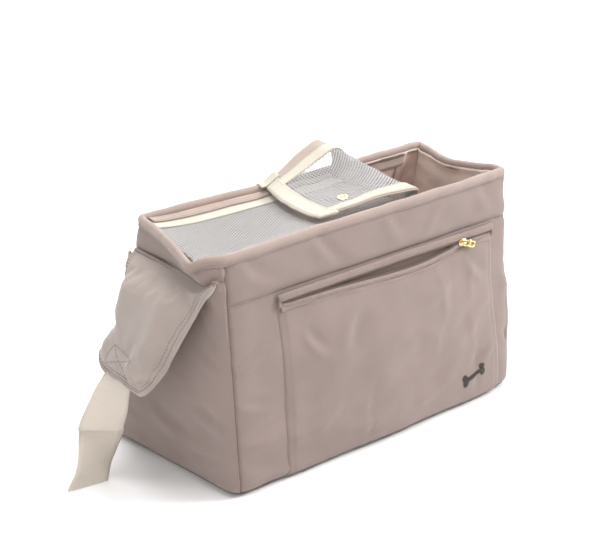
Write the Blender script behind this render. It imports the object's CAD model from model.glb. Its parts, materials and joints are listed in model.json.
"""Pet carrier bag: soft shell, net cover, zipped pocket and shoulder strap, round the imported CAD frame.

Shapes are worked out in millimetres in the row frame, and turned into metres as each mesh is made.
"""

import json
import math

import bmesh
import bpy
import numpy as np
from mathutils import Matrix, Vector
from mathutils.bvhtree import BVHTree


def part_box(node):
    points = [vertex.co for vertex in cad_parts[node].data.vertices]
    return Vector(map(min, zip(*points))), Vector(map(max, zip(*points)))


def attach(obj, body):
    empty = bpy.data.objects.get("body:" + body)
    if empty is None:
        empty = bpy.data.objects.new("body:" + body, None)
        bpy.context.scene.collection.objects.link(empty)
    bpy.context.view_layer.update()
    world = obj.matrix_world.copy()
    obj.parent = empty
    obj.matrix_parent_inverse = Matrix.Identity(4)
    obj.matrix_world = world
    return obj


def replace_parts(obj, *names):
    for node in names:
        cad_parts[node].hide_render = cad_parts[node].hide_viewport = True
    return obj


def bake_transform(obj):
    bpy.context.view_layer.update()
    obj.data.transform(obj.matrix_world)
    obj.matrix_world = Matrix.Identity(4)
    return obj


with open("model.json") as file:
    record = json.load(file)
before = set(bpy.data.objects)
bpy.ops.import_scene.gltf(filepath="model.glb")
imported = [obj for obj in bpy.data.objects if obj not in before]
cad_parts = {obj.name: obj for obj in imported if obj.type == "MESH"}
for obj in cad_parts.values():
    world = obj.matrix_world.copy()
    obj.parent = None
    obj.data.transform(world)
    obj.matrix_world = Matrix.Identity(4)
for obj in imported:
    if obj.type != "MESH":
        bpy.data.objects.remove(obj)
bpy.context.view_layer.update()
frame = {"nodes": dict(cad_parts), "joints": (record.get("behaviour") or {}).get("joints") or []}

MM = 0.001
TAU = 2 * math.pi


def box_mm(node):
    """A CAD node's lowest and highest corners, in millimetres."""
    low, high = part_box(node)
    return np.array(low) / MM, np.array(high) / MM


# ---------------------------------------------------------------- numbers and noise


def lerp(a, b, t):
    return a + (b - a) * t


def smooth(x, low=0.0, high=1.0):
    """0 below low, 1 above high, and a soft step between."""
    t = np.clip((np.asarray(x, float) - low) / (high - low), 0, 1)
    return t * t * (3 - 2 * t)


def bump(x, centre, width):
    """A soft hill of height 1."""
    return np.exp(-(((np.asarray(x, float) - centre) / width) ** 2))


def lattice(cell, seed):
    """A fixed value from -1 to 1 for each whole-numbered cell."""
    mixed = cell[..., 0] * 374761393 + cell[..., 1] * 668265263 + cell[..., 2] * 974634777 + seed * 362437
    mixed = (mixed ^ (mixed >> 13)) * 1274126177 & 0x7FFFFFFF
    mixed = (mixed ^ (mixed >> 16)) * 668265263 & 0x7FFFFFFF
    return (mixed & 0xFFFF) / 32767.5 - 1


def noise(points, cell_size, seed=0):
    """Smooth noise from -1 to 1 over points, with features about as large as cell_size."""
    scaled = np.asarray(points, float) / cell_size
    cell = np.floor(scaled).astype(np.int64)
    part = scaled - cell
    part = part * part * (3 - 2 * part)
    total = np.zeros(scaled.shape[:-1])
    for dx in (0, 1):
        for dy in (0, 1):
            for dz in (0, 1):
                corner = np.array((dx, dy, dz))
                share = np.prod(np.where(corner, part, 1 - part), axis=-1)
                total = total + share * lattice(cell + corner, seed)
    return total


def unit(v):
    v = np.asarray(v, float)
    return v / np.maximum(np.linalg.norm(v, axis=-1, keepdims=True), 1e-9)


def resample(points, count):
    """count points spaced evenly along a line."""
    points = np.asarray(points, float)
    steps = np.linalg.norm(np.diff(points, axis=0), axis=1)
    along = np.concatenate([[0], np.cumsum(steps)])
    places = np.linspace(0, along[-1], count)
    return np.stack([np.interp(places, along, points[:, k]) for k in range(points.shape[1])], axis=1)


def curve_through(points, per_span=12):
    """A smooth line through points (Catmull-Rom)."""
    points = np.asarray(points, float)
    ends = np.vstack([2 * points[0] - points[1], points, 2 * points[-1] - points[-2]])
    line = []
    for i in range(len(points) - 1):
        a, b, c, d = ends[i : i + 4]
        for t in np.linspace(0, 1, per_span, endpoint=False):
            square, cube = 2 * a - 5 * b + 4 * c - d, 3 * b - a - 3 * c + d
            line.append(0.5 * (2 * b + (c - a) * t + square * t * t + cube * t**3))
    line.append(points[-1])
    return np.array(line)


def line_length(points):
    return float(np.linalg.norm(np.diff(np.asarray(points, float), axis=0), axis=1).sum())


# ---------------------------------------------------------------- meshes


def add_piece(name, verts, faces, material, body="shell", smooth_faces=True):
    """A mesh piece from points in millimetres. body None leaves it free, to be blended later."""
    mesh = bpy.data.meshes.new(name)
    mesh.from_pydata((np.asarray(verts, float) * MM).tolist(), [], faces)
    made = bmesh.new()
    made.from_mesh(mesh)
    bmesh.ops.recalc_face_normals(made, faces=made.faces)
    made.to_mesh(mesh)
    made.free()
    mesh.polygons.foreach_set("use_smooth", [smooth_faces] * len(mesh.polygons))
    piece = bpy.data.objects.new(name, mesh)
    bpy.context.collection.objects.link(piece)
    mesh.materials.append(material)
    if body:
        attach(piece, body)
    return piece


def slab_faces(rows, columns, closed=False):
    """Faces of a closed thin solid whose two sides are grids of rows by columns."""
    faces = []
    far = rows * columns
    last = columns if closed else columns - 1
    for i in range(rows - 1):
        for j in range(last):
            k = (j + 1) % columns
            a, b, c, d = i * columns + j, i * columns + k, (i + 1) * columns + k, (i + 1) * columns + j
            faces.append((a, b, c, d))
            faces.append((far + a, far + d, far + c, far + b))
    for j in range(last):
        k = (j + 1) % columns
        top = (rows - 1) * columns
        faces.append((j, far + j, far + k, k))
        faces.append((top + j, top + k, far + top + k, far + top + j))
    if not closed:
        for i in range(rows - 1):
            a, b = i * columns, (i + 1) * columns
            faces.append((a, b, far + b, far + a))
            a, b = a + columns - 1, b + columns - 1
            faces.append((a, far + a, far + b, b))
    return faces


def slab(name, outer, inner, material, body="shell", closed=False):
    """A closed thin solid between two grids of points."""
    rows, columns = outer.shape[:2]
    verts = np.vstack([outer.reshape(-1, 3), inner.reshape(-1, 3)])
    return add_piece(name, verts, slab_faces(rows, columns, closed), material, body)


def ring_faces(count, sides, closed=False):
    """Faces of a tube of count rings, each of sides points, with capped ends unless it is closed."""
    faces = []
    for i in range(count if closed else count - 1):
        k = (i + 1) % count
        for j in range(sides):
            m = (j + 1) % sides
            faces.append((i * sides + j, i * sides + m, k * sides + m, k * sides + j))
    if not closed:
        faces.append(tuple(range(sides)))
        faces.append(tuple((count - 1) * sides + j for j in range(sides)))
    return faces


def frames_along(path, up):
    """Unit tangent, side and up vectors along a line, with up kept near the given direction."""
    path = np.asarray(path, float)
    tangent = unit(np.gradient(path, axis=0))
    side = unit(np.cross(tangent, np.broadcast_to(up, path.shape)))
    return tangent, side, np.cross(side, tangent)


def tube_points(path, radius, up, sides=8):
    """Rings of points round a line."""
    _, side, top = frames_along(path, up)
    angles = np.arange(sides) * TAU / sides
    radius = np.broadcast_to(radius, len(path))[:, None, None]
    ring = side[:, None, :] * np.cos(angles)[None, :, None] + top[:, None, :] * np.sin(angles)[None, :, None]
    return np.asarray(path)[:, None, :] + ring * radius


def tube(name, path, radius, up, material, body="shell", sides=8, closed=False):
    points = tube_points(path, radius, up, sides)
    return add_piece(name, points.reshape(-1, 3), ring_faces(len(path), sides, closed), material, body)


STITCH, STITCH_GAP, THREAD = 2.7, 1.1, 0.27


def stitch_mesh(lines, lift=0.12):
    """Points and faces of rows of stitches along (points, normals) lines."""
    verts, faces = [], []
    sides = 6
    profile = ((-0.5, 0.35, -0.5), (-0.3, 0.9, 0.0), (0.0, 1.0, 0.12), (0.3, 0.9, 0.0), (0.5, 0.35, -0.5))
    angles = np.arange(sides) * TAU / sides
    for points, normals in lines:
        points, normals = np.asarray(points, float), np.asarray(normals, float)
        count = max(2, int(line_length(points) / (STITCH + STITCH_GAP)))
        joined = resample(np.hstack([points, normals * 1e-3]), count * 2 + 1)
        centres, tops = joined[1::2, :3], unit(joined[1::2, 3:])
        tangents = unit(joined[2::2, :3] - joined[0:-1:2, :3])
        for centre, top, tangent in zip(centres, tops, tangents):
            side = np.cross(tangent, top)
            first = len(verts)
            for along, size, sink in profile:
                middle = centre + tangent * along * STITCH + top * (lift + sink * THREAD)
                for a in angles:
                    verts.append(middle + (side * math.cos(a) + top * math.sin(a)) * THREAD * size)
            for face in ring_faces(len(profile), sides):
                faces.append(tuple(first + k for k in face))
    return verts, faces


def stitches(name, lines, material, body="shell", lift=0.12):
    verts, faces = stitch_mesh(lines, lift)
    return add_piece(name, verts, faces, material, body)


# ---------------------------------------------------------------- materials


def srgb(red, green, blue):
    """A linear colour from 0-255 display values."""
    values = [v / 255 for v in (red, green, blue)]
    return tuple(v / 12.92 if v <= 0.04045 else ((v + 0.055) / 1.055) ** 2.4 for v in values) + (1.0,)


class Shader:
    """A material's node tree, with short calls for the nodes used here."""

    def __init__(self, name):
        self.material = bpy.data.materials.new(name)
        self.material.use_nodes = True
        self.tree = self.material.node_tree
        self.surface = self.tree.nodes["Principled BSDF"]
        place = self.tree.nodes.new("ShaderNodeTexCoord")
        self.place = place.outputs["Object"]

    def join(self, source, target):
        self.tree.links.new(source, target)

    def math(self, kind, first, second=None):
        node = self.tree.nodes.new("ShaderNodeMath")
        node.operation = kind
        for slot, value in zip(node.inputs, (first, second)):
            if isinstance(value, (int, float)):
                slot.default_value = value
            elif value is not None:
                self.join(value, slot)
        return node.outputs[0]

    def noise(self, scale, detail=3.0, rough=0.5, place=None):
        node = self.tree.nodes.new("ShaderNodeTexNoise")
        node.inputs["Scale"].default_value = scale
        node.inputs["Detail"].default_value = detail
        node.inputs["Roughness"].default_value = rough
        self.join(place or self.place, node.inputs["Vector"])
        return node.outputs["Fac"]

    def weave(self, pitch_mm):
        """Crossed threads a pitch apart, whichever way the face lies."""
        split = self.tree.nodes.new("ShaderNodeSeparateXYZ")
        self.join(self.place, split.inputs[0])
        waves = [self.math("SINE", self.math("MULTIPLY", o, TAU / (pitch_mm * MM))) for o in split.outputs]
        pairs = [self.math("MULTIPLY", waves[i], waves[(i + 1) % 3]) for i in range(3)]
        return self.math("ADD", self.math("ADD", pairs[0], pairs[1]), pairs[2])

    def spread(self, value, low, high, from_low=0.3, from_high=0.7):
        node = self.tree.nodes.new("ShaderNodeMapRange")
        numbers = {"From Min": from_low, "From Max": from_high, "To Min": low, "To Max": high}
        for name, number in numbers.items():
            node.inputs[name].default_value = number
        self.join(value, node.inputs["Value"])
        return node.outputs["Result"]

    def mix(self, amount, first, second):
        node = self.tree.nodes.new("ShaderNodeMix")
        node.data_type = "RGBA"
        self.join(amount, node.inputs["Factor"])
        for slot, value in (("A", first), ("B", second)):
            target = [s for s in node.inputs if s.name == slot and s.type == "RGBA"][0]
            if isinstance(value, tuple):
                target.default_value = value
            else:
                self.join(value, target)
        return [s for s in node.outputs if s.type == "RGBA"][0]

    def bump(self, height, strength, depth_mm):
        node = self.tree.nodes.new("ShaderNodeBump")
        node.inputs["Strength"].default_value = strength
        node.inputs["Distance"].default_value = depth_mm * MM
        self.join(height, node.inputs["Height"])
        self.join(node.outputs["Normal"], self.surface.inputs["Normal"])

    def colour(self, source):
        self.join(source, self.surface.inputs["Base Color"])

    def roughness(self, source):
        self.join(source, self.surface.inputs["Roughness"])

    def set(self, **values):
        for name, value in values.items():
            self.surface.inputs[name.replace("_", " ")].default_value = value


def scaled(colour, amount):
    return tuple(min(1.0, c * amount) for c in colour[:3]) + (1.0,)


def cloth(name, colour, pitch=0.62, rough=0.72, sheen=0.25, mottle=0.07, depth=0.16):
    """Woven cloth: crossed threads, slubs, and a slow change of tone."""
    s = Shader(name)
    tone = s.noise(22, 3.0)
    slub = s.noise(900, 2.0, 0.6)
    broad = s.mix(s.spread(tone, 0, 1), scaled(colour, 1 - mottle), scaled(colour, 1 + mottle))
    threads = s.weave(pitch)
    fine = s.mix(s.spread(slub, 0, 0.22), broad, scaled(colour, 0.62))
    s.colour(s.mix(s.spread(threads, 0, 0.16, -1.0, 1.0), fine, scaled(colour, 1.18)))
    s.roughness(s.spread(slub, rough - 0.07, rough + 0.08))
    s.bump(s.math("ADD", s.math("MULTIPLY", threads, 0.35), s.math("MULTIPLY", slub, 0.9)), 0.55, depth)
    s.set(Sheen_Weight=sheen, Sheen_Roughness=0.45, Specular_IOR_Level=0.32)
    return s.material


def ribbed(name, colour, pitch=1.3, rough=0.75):
    """Webbing and twill tape: close ribs crossed by a finer weave."""
    s = Shader(name)
    threads = s.weave(pitch)
    fuzz = s.noise(1500, 2.0, 0.6)
    tone = s.noise(35, 2.0)
    broad = s.mix(s.spread(tone, 0, 1), scaled(colour, 0.95), scaled(colour, 1.04))
    s.colour(s.mix(s.spread(threads, 0.0, 0.3, -1.0, 0.6), scaled(colour, 0.78), broad))
    s.roughness(s.spread(fuzz, rough - 0.08, rough + 0.08))
    s.bump(s.math("ADD", threads, s.math("MULTIPLY", fuzz, 0.7)), 0.6, 0.2)
    s.set(Sheen_Weight=0.2, Specular_IOR_Level=0.3)
    return s.material


def plastic(name, colour, rough=0.5, grain=700, strength=0.2):
    """Moulded plastic with a fine grain."""
    s = Shader(name)
    grains = s.noise(grain, 3.0, 0.6)
    s.colour(s.mix(s.spread(grains, 0, 1), scaled(colour, 0.9), scaled(colour, 1.1)))
    s.roughness(s.spread(s.noise(60, 4.0), rough - 0.06, rough + 0.08))
    s.bump(grains, strength, 0.05)
    return s.material


def metal(name, colour, rough=0.2):
    """Plated metal with faint polishing marks and dull patches."""
    s = Shader(name)
    marks = s.noise(420, 4.0, 0.65)
    s.colour(s.mix(s.spread(s.noise(90, 3.0), 0, 1), scaled(colour, 0.9), scaled(colour, 1.05)))
    s.roughness(s.spread(marks, rough - 0.06, rough + 0.14))
    s.bump(marks, 0.12, 0.03)
    s.set(Metallic=1.0)
    return s.material


def foam_material(name, colour):
    """Closed-cell foam: small pits."""
    s = Shader(name)
    cells = s.tree.nodes.new("ShaderNodeTexVoronoi")
    cells.inputs["Scale"].default_value = 900
    s.join(s.place, cells.inputs["Vector"])
    pits = cells.outputs["Distance"]
    s.colour(s.mix(s.spread(pits, 0, 1, 0.1, 0.6), scaled(colour, 0.85), colour))
    s.bump(pits, 0.4, 0.2)
    s.set(Roughness=0.85)
    return s.material


TAUPE = srgb(143, 126, 120)
SHELL_CLOTH = cloth("shell_cloth", TAUPE)
BINDING_CLOTH = cloth("binding_cloth", srgb(161, 143, 135), pitch=0.55, sheen=0.3)
STRAP_CLOTH = cloth("strap_cloth", srgb(163, 150, 143), rough=0.6, sheen=0.35)
LINING_CLOTH = cloth("lining_cloth", srgb(226, 205, 194), pitch=0.45, rough=0.66, depth=0.1)
POCKET_CLOTH = cloth("pocket_lining_cloth", srgb(112, 94, 87), pitch=0.45, rough=0.7, depth=0.1)
CUSHION_CLOTH = cloth("cushion_cloth", srgb(172, 152, 143), pitch=0.7)
LOOP_TAPE = cloth("loop_tape", srgb(176, 157, 147), pitch=0.9, rough=0.88, sheen=0.5, depth=0.35)
CREAM_TAPE = ribbed("cream_tape", srgb(222, 215, 200), pitch=0.9)
WEBBING = ribbed("webbing", srgb(226, 214, 201), pitch=1.5)
NET = ribbed("net_thread", srgb(216, 214, 213), pitch=0.5, rough=0.6)
THREAD_TAUPE = ribbed("thread_taupe", srgb(166, 145, 137), pitch=0.4)
THREAD_SEAM = ribbed("thread_seam", srgb(128, 111, 105), pitch=0.4)
THREAD_CREAM = ribbed("thread_cream", srgb(230, 221, 200), pitch=0.4)
THREAD_DARK = ribbed("thread_dark", srgb(92, 80, 76), pitch=0.4)
ZIP_TAPE = cloth("zip_tape", srgb(150, 130, 122), pitch=0.5)
ZIP_COIL = plastic("zip_coil", srgb(132, 113, 105), 0.45)
BRASS = metal("pale_brass", srgb(232, 208, 148))
BLACK_PLASTIC = plastic("black_plastic", srgb(38, 38, 40), 0.42)
BOARD = plastic("board", srgb(46, 46, 50), 0.6)
FOAM = foam_material("foam", srgb(232, 228, 214))


# ---------------------------------------------------------------- the soft shell

FLOOR_HIGH = box_mm("bottom_panel")[1]
HALF_LENGTH, HALF_DEPTH = FLOOR_HIGH[0], FLOOR_HIGH[1]
WALL_TOP = box_mm("foam_front")[1][2]
BASE_CUT = 8.0
RIM_FRONT = 91.0
WALL = 5.5
SHELL_THICK = 1.2

# Base and rim points of each wall corner, in order round the bag from the front left seam.
CORNERS = (
    ((-HALF_LENGTH + BASE_CUT, -HALF_DEPTH), (-201.0, -RIM_FRONT)),
    ((HALF_LENGTH - BASE_CUT, -HALF_DEPTH), (200.0, -RIM_FRONT)),
    ((HALF_LENGTH, -HALF_DEPTH + BASE_CUT), (204.0, -62.0)),
    ((HALF_LENGTH, HALF_DEPTH - BASE_CUT), (207.0, 46.0)),
    ((HALF_LENGTH - 34, HALF_DEPTH), (179.0, 47.5)),
    ((-HALF_LENGTH + 34, HALF_DEPTH), (-160.0, 59.0)),
    ((-HALF_LENGTH, HALF_DEPTH - BASE_CUT), (-188.0, 60.0)),
    ((-HALF_LENGTH, -HALF_DEPTH + BASE_CUT), (-230.0, -73.0)),
)
SIDES = len(CORNERS)
# Up to the band, the front left corner stays close to its seam. From there it flares to the rim.
FLARE_START = 204.0
UNFLARED_RIM = np.array([-209.5, -90.0])
FRONT_LEFT, FRONT_RIGHT, RIGHT_FRONT, RIGHT_REAR, REAR_RIGHT, REAR_LEFT, LEFT_REAR, LEFT_FRONT = range(SIDES)
BASE_ROUND = 12.0
FLOOR_ROUND = 14.0
ZIP_HEIGHT = 190.0


def corners_at(z):
    """The wall corners at a height."""
    base = np.array([c[0] for c in CORNERS])
    rim = np.array([c[1] for c in CORNERS])
    flare = rim[LEFT_FRONT] - UNFLARED_RIM
    rim[LEFT_FRONT] = UNFLARED_RIM
    corners = lerp(base, rim, z / WALL_TOP)
    corners[LEFT_FRONT] += flare * max(0.0, (z - FLARE_START) / (WALL_TOP - FLARE_START)) ** 1.35
    return corners


def crease(places, start, end, width, depth):
    """A soft fold: a ridge from start to end beside a shallow valley, fading at both ends."""
    start, end = np.array(start, float), np.array(end, float)
    line = end - start
    length = np.linalg.norm(line)
    along = ((places - start) @ line) / length**2
    side = ((places - start) @ np.array([-line[1], line[0]])) / length
    side = side + 0.12 * length * np.sin(along * 2.6) - 0.06 * length
    fade = smooth(along, -0.15, 0.35) * smooth(along, 1.15, 0.6)
    ridge = np.exp(-((side / width) ** 2)) - 0.75 * np.exp(-(((side - 1.5 * width) / (1.3 * width)) ** 2))
    return depth * fade * ridge


# Folds in the front wall by (x, z), and in the left end by (y, z): start, end, width and depth.
FRONT_CREASES = (
    ((-186, 238), (-142, 210), 5.5, 2.4),
    ((-92, 244), (-58, 214), 6.5, 2.5),
    ((-76, 236), (-30, 206), 4.5, -1.8),
    ((10, 243), (36, 214), 6.0, 2.2),
    ((98, 240), (70, 208), 6.0, 2.0),
    ((150, 242), (176, 206), 5.5, 2.1),
    ((-196, 128), (-158, 152), 4.5, 2.5),
    ((-198, 96), (-150, 86), 4.0, 2.2),
    ((-196, 52), (-148, 60), 4.5, 2.1),
    ((-194, 26), (-156, 20), 3.5, 2.0),
    ((-112, 150), (-84, 124), 5.0, 2.7),
    ((-40, 168), (-62, 120), 9.0, 2.4),
    ((-128, 42), (-70, 62), 6.5, 2.5),
    ((-60, 26), (10, 44), 7.0, 2.2),
    ((40, 30), (110, 58), 7.5, 2.4),
    ((60, 140), (112, 168), 9.0, 2.5),
    ((96, 74), (150, 110), 8.0, 2.2),
    ((130, 30), (166, 62), 5.5, 2.4),
    ((120, 172), (160, 138), 6.0, 2.2),
    ((186, 150), (200, 120), 5.0, 1.2),
    ((180, 70), (202, 46), 5.0, 2.7),
)
END_CREASES = (
    ((-88, 66), (-48, 88), 5.5, 2.5),
    ((-90, 30), (-40, 24), 4.5, 2.2),
    ((-84, 128), (-60, 150), 5.0, 2.2),
    ((-30, 40), (30, 62), 7.5, 2.7),
    ((20, 110), (64, 84), 7.0, 2.4),
    ((-60, 208), (-84, 170), 5.0, 2.1),
    ((50, 30), (86, 50), 5.5, 2.2),
)


class Shell:
    """The bag's outer surface: a place for each distance round it and each height, with its outward normal.

    The distance round is in sides: 0 is the front left seam, 1 the front right corner, and so on round to 8.
    """

    PER_SIDE = 150
    LEVELS = np.arange(0, 261, 4.0)

    def __init__(self):
        columns = SIDES * self.PER_SIDE
        u = np.arange(columns + 1) / self.PER_SIDE
        side = np.minimum(u.astype(int), SIDES - 1)
        part = (u - side)[:, None]
        places, normals = [], []
        for z in self.LEVELS:
            corners = corners_at(z)
            corners = np.vstack([corners, corners[:1]])
            line = lerp(corners[side], corners[side + 1], part)
            flat = self._rounded(line, lerp(11.0, 7.0, z / WALL_TOP))
            tangent = unit(np.roll(flat[:-1], -2, axis=0) - np.roll(flat[:-1], 2, axis=0))
            tangent = np.vstack([tangent, tangent[:1]])
            normal = np.stack([tangent[:, 1], -tangent[:, 0], 0 * u], axis=1)
            places.append(self._softened(u, z, flat, normal))
            normals.append(normal)
        self.places, self.normals = np.array(places), np.array(normals)

    def _rounded(self, flat, reach):
        """The outline with its corners eased over a reach."""
        steps = np.linalg.norm(np.diff(flat, axis=0), axis=1)
        along = np.concatenate([[0], np.cumsum(steps)])
        total = along[-1]
        offsets = np.linspace(-2, 2, 17) * reach
        weights = np.exp(-((offsets / reach) ** 2))
        eased = np.zeros_like(flat)
        for offset, weight in zip(offsets, weights):
            place = (along + offset) % total
            eased += weight * np.stack([np.interp(place, along, flat[:, k]) for k in (0, 1)], axis=1)
        return eased / weights.sum()

    def _softened(self, u, z, flat, normal):
        """One level with the walls' fullness, folds, base edge and sagging rim."""
        share = z / WALL_TOP
        out = np.zeros_like(u)
        for start, end, full in (
            (FRONT_LEFT, FRONT_RIGHT, 4.5),
            (RIGHT_FRONT, RIGHT_REAR, 5.0),
            (REAR_RIGHT, REAR_LEFT, 6.0),
            (LEFT_REAR, LEFT_FRONT, 3.5),
        ):
            across = np.clip((u - start) / (end - start), 0, 1)
            out += full * np.sin(math.pi * across) ** 0.8 * math.sin(math.pi * min(1, share)) ** 0.7
        points = np.concatenate([flat, np.full((len(u), 1), z)], axis=1)
        folds = 1.9 * noise(points * (1, 1, 0.8), 88, 3) + 1.0 * noise(points * (1, 1, 1.4), 37, 5)
        creases = np.abs(noise(points * (1, 1, 0.55) + (0, 0, 40), 60, 8))
        folds -= 1.5 * np.exp(-((creases / 0.12) ** 2)) * smooth(noise(points, 120, 11), -0.1, 0.5)
        small = noise(points * (1, 1, 1.8) + (90, 0, 0), 19, 13)
        folds += 0.8 * small * smooth(noise(points, 70, 15), -0.3, 0.35)
        ridges = 1 - np.abs(noise(points * (1, 1, 0.8) + (30, 10, 20), 46, 17)) * 3.2
        folds += 1.3 * np.clip(ridges, 0, 1) ** 2 * smooth(noise(points, 95, 19), -0.2, 0.4)
        on_face = smooth(u, FRONT_RIGHT + 0.15, FRONT_RIGHT - 0.02)
        for start, end, width, depth in FRONT_CREASES:
            folds += crease(points[:, (0, 2)], start, end, width, depth) * on_face
        on_face = smooth(u, LEFT_REAR - 0.1, LEFT_REAR + 0.05) * smooth(u, LEFT_FRONT + 0.3, LEFT_FRONT)
        for start, end, width, depth in END_CREASES:
            folds += crease(points[:, 1:], start, end, width, depth) * on_face
        out += folds * smooth(share, 0.0, 0.12)
        near_right = smooth(u, FRONT_RIGHT + 0.9, FRONT_RIGHT + 0.5)
        on_front = near_right + smooth(u, LEFT_FRONT + 0.6, LEFT_FRONT + 0.9)
        out *= 1 - np.clip(on_front, 0, 1) * bump(z, ZIP_HEIGHT, 22)
        right_corner = bump(u, FRONT_RIGHT + 0.5, 0.42)
        out += right_corner * (5.0 * bump(z, 92, 46) - 3.0 * bump(z, 182, 40) - 3.0 * smooth(z, 46, 0) ** 2)
        if z < BASE_ROUND:
            out -= BASE_ROUND - math.sqrt(BASE_ROUND**2 - (BASE_ROUND - z) ** 2)
        sag = smooth(z, 120, WALL_TOP)
        right_dip = bump(u, RIGHT_FRONT + 0.45, 0.42)
        left_dip = bump(u, LEFT_FRONT, 0.3)
        rear_dip = bump(u, REAR_RIGHT + 0.45, 0.35)
        out -= sag * (9.0 * right_dip + 2.5 * rear_dip)
        points[:, 2] -= sag * (5.5 * right_dip + 5.0 * left_dip + 1.5 * rear_dip)
        return points + normal * out[:, None]

    def _look_up(self, table, u, z):
        u = np.asarray(u, float) % SIDES * self.PER_SIDE
        z = np.clip(np.asarray(z, float), 0, self.LEVELS[-1]) / (self.LEVELS[1] - self.LEVELS[0])
        column = np.minimum(u.astype(int), table.shape[1] - 2)
        level = np.minimum(z.astype(int), table.shape[0] - 2)
        right, up = (u - column)[..., None], (z - level)[..., None]
        low = lerp(table[level, column], table[level, column + 1], right)
        high = lerp(table[level + 1, column], table[level + 1, column + 1], right)
        return lerp(low, high, up)

    def at(self, u, z, out=0.0):
        """Places on the surface, moved outward."""
        u, z, out = np.broadcast_arrays(np.asarray(u, float), np.asarray(z, float), np.asarray(out, float))
        return self._look_up(self.places, u, z) + self.normal(u, z) * out[..., None]

    def normal(self, u, z):
        u, z = np.broadcast_arrays(np.asarray(u, float), np.asarray(z, float))
        return unit(self._look_up(self.normals, u, z))


SHELL = Shell()


def length_round(start, end, z=120.0):
    """The distance round the bag between two places at one height."""
    return line_length(SHELL.at(np.linspace(start, end, 60), z))


SEAM_DEEPEST = 1.9


def seam_dip(distance, depth=1.5, reach=4.0):
    """How cloth sinks into a seam and swells beside it, by its distance from the seam."""
    distance = np.asarray(distance, float)
    return -depth * np.exp(-((distance / reach) ** 2)) + 0.5 * bump(distance, reach * 2.4, reach * 1.3)


def wall_grid(start, end, low, high, step=3.2):
    """Grids of u and z over a stretch of wall. low and high may be functions of u."""
    columns = max(3, int(length_round(start, end) / step) + 1)
    u = np.linspace(start, end, columns)
    lower = low(u) if callable(low) else np.full_like(u, low)
    upper = high(u) if callable(high) else np.full_like(u, high)
    rows = max(3, int(np.max(upper - lower) / step) + 1)
    share = np.linspace(0, 1, rows)[:, None]
    return np.broadcast_to(u, (rows, columns)), lower + (upper - lower) * share


def panel(name, start, end, low, high, material,
          near=0.0, thick=SHELL_THICK, seams=True, extra=None, step=3.2):
    """A sewn panel of the shell, which sinks into the seams along its edges and puckers beside them."""
    u, z = wall_grid(start, end, low, high, step)
    width = length_round(start, end)
    left = (u - u[:, :1]) / (end - start) * width
    right = width - left
    out = np.full(u.shape, float(near))
    if seams:
        for distance in (left, right, z - z[:1], z[-1:] - z):
            out = out + seam_dip(distance)
            pucker = noise(np.stack([u * 60, z * 0.5, 0 * z], -1), 3.1, 21)
            out = out + 0.45 * pucker * np.exp(-distance / 7.0)
        out = np.maximum(out, near - SEAM_DEEPEST)
    if extra is not None:
        out = out + extra(u, z)
    return slab(name, SHELL.at(u, z, out), SHELL.at(u, z, out - thick), material)


def wall_line(start, end, z, out, count=160):
    """A line along the wall with its normals, for stitches and piping. z and out may be functions of u."""
    u = np.linspace(start, end, count)
    height = z(u) if callable(z) else np.full_like(u, z)
    away = out(u) if callable(out) else np.full_like(u, out)
    return SHELL.at(u, height, away), SHELL.normal(u, height)


FRONT_SEAM = 201.5
REAR_SEAM = 200.0


def left_seam(u):
    """The height of the left end's band seam, which rises to the front."""
    return lerp(208.0, 229.0, smooth(u, REAR_LEFT + 0.4, LEFT_FRONT))


def right_seam(u):
    return np.full_like(u, 209.0)


def make_walls():
    """The outer panels and bands, each with its topstitching."""
    rim = WALL_TOP - 1
    low = 4.0
    pieces = (
        ("front_panel", FRONT_LEFT, RIGHT_FRONT, low, FRONT_SEAM),
        ("front_band", FRONT_LEFT, RIGHT_FRONT, FRONT_SEAM, rim),
        ("right_end_panel", RIGHT_FRONT, REAR_RIGHT, low, right_seam),
        ("right_end_band", RIGHT_FRONT, REAR_RIGHT, right_seam, rim),
        ("rear_panel", REAR_RIGHT, REAR_LEFT, low, REAR_SEAM),
        ("rear_band", REAR_RIGHT, REAR_LEFT, REAR_SEAM, rim),
        ("left_end_panel", REAR_LEFT, SIDES, low, left_seam),
        ("left_end_band", REAR_LEFT, SIDES, left_seam, rim),
    )
    for node, start, end, bottom, top in pieces:
        made = panel(node + "_cloth", start, end, bottom, top, SHELL_CLOTH)
        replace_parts(made, node)
    lines = [
        wall_line(FRONT_LEFT + 0.02, RIGHT_FRONT - 0.02, FRONT_SEAM + 3.2, 0.1, 400),
        wall_line(RIGHT_FRONT + 0.02, REAR_RIGHT - 0.02, lambda u: right_seam(u) + 3.2, 0.1),
        wall_line(REAR_RIGHT + 0.02, REAR_LEFT - 0.02, REAR_SEAM + 3.2, 0.1, 400),
        wall_line(REAR_LEFT + 0.02, SIDES - 0.02, lambda u: left_seam(u) + 3.2, 0.1),
    ]
    stitches("band_topstitching", lines, THREAD_TAUPE)


def make_bottom():
    """The bottom panel, turned up round the edge of the base."""
    heights = (4.0, 2.0, 0.9)
    u = np.linspace(0, SIDES, 420, endpoint=False)
    grid = [SHELL.at(u, z, -0.6) for z in heights]
    edge = grid[-1].copy()
    for share in (0.985, 0.95, 0.8, 0.55, 0.25, 0.02):
        ring = edge * (share, share, 0)
        ring[:, 2] = 0.35
        grid.append(ring)
    outer = np.array(grid)
    inner = outer.copy()
    turned_up = len(heights)
    inner[:turned_up] -= SHELL.normal(u, 2.0)[None] * SHELL_THICK
    inner[turned_up:, :, 2] += SHELL_THICK
    made = slab("bottom_panel_cloth", outer, inner, SHELL_CLOTH, closed=True)
    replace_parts(made, "bottom_panel")


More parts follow.
